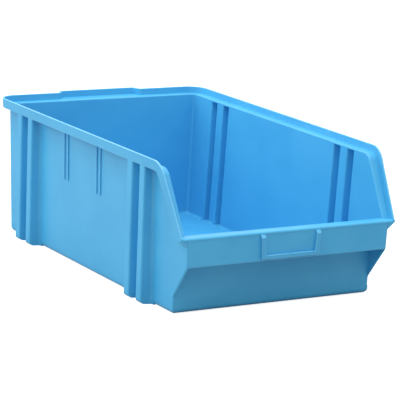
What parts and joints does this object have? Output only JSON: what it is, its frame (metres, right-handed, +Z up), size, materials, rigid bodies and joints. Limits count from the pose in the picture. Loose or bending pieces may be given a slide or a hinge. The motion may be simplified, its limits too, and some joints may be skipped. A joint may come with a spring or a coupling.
{
  "type": "open-front storage bin",
  "caption": "Light blue plastic open-front stacking bin with ribbed sides, a stacking ledge, a rear pull grip and a front label frame.",
  "frame": {"origin": "centre of the bounding box on the plane that the bin stands on", "axes": "+Y from the open front to the rear wall, +X to the right as seen from the open front, +Z up"},
  "size_m": [0.3104, 0.5051, 0.18],
  "materials": {
    "body_plastic": "satin"
  },
  "bodies": {
    "root": {"floor_tray": "body_plastic", "front_band": "body_plastic", "front_lip": "body_plastic", "front_mouth_wall": "body_plastic", "front_shelf": "body_plastic", "front_wall": "body_plastic", "grip_rim_ledge": "body_plastic", "grip_rim_lip": "body_plastic", "label_frame": "body_plastic", "left_front_panel": "body_plastic", "left_front_rib_1": "body_plastic", "left_front_rib_2": "body_plastic", "left_lip_flare": "body_plastic", "left_middle_panel": "body_plastic", "left_rear_panel": "body_plastic", "left_rear_rib_1": "body_plastic", "left_rear_rib_2": "body_plastic", "left_rear_rim_ledge": "body_plastic", "left_rear_rim_lip": "body_plastic", "left_side_rim_ledge": "body_plastic", "left_side_rim_lip": "body_plastic", "left_slope_rim_ledge": "body_plastic", "left_slope_rim_lip": "body_plastic", "left_stiffener_1": "body_plastic", "left_stiffener_2": "body_plastic", "left_stiffener_3": "body_plastic", "left_stiffener_4": "body_plastic", "rear_wall": "body_plastic", "right_front_panel": "body_plastic", "right_front_rib_1": "body_plastic", "right_front_rib_2": "body_plastic", "right_lip_flare": "body_plastic", "right_middle_panel": "body_plastic", "right_rear_panel": "body_plastic", "right_rear_rib_1": "body_plastic", "right_rear_rib_2": "body_plastic", "right_rear_rim_ledge": "body_plastic", "right_rear_rim_lip": "body_plastic", "right_side_rim_ledge": "body_plastic", "right_side_rim_lip": "body_plastic", "right_slope_rim_ledge": "body_plastic", "right_slope_rim_lip": "body_plastic", "right_stiffener_1": "body_plastic", "right_stiffener_2": "body_plastic", "right_stiffener_3": "body_plastic", "right_stiffener_4": "body_plastic"}
  },
  "joints": []
}
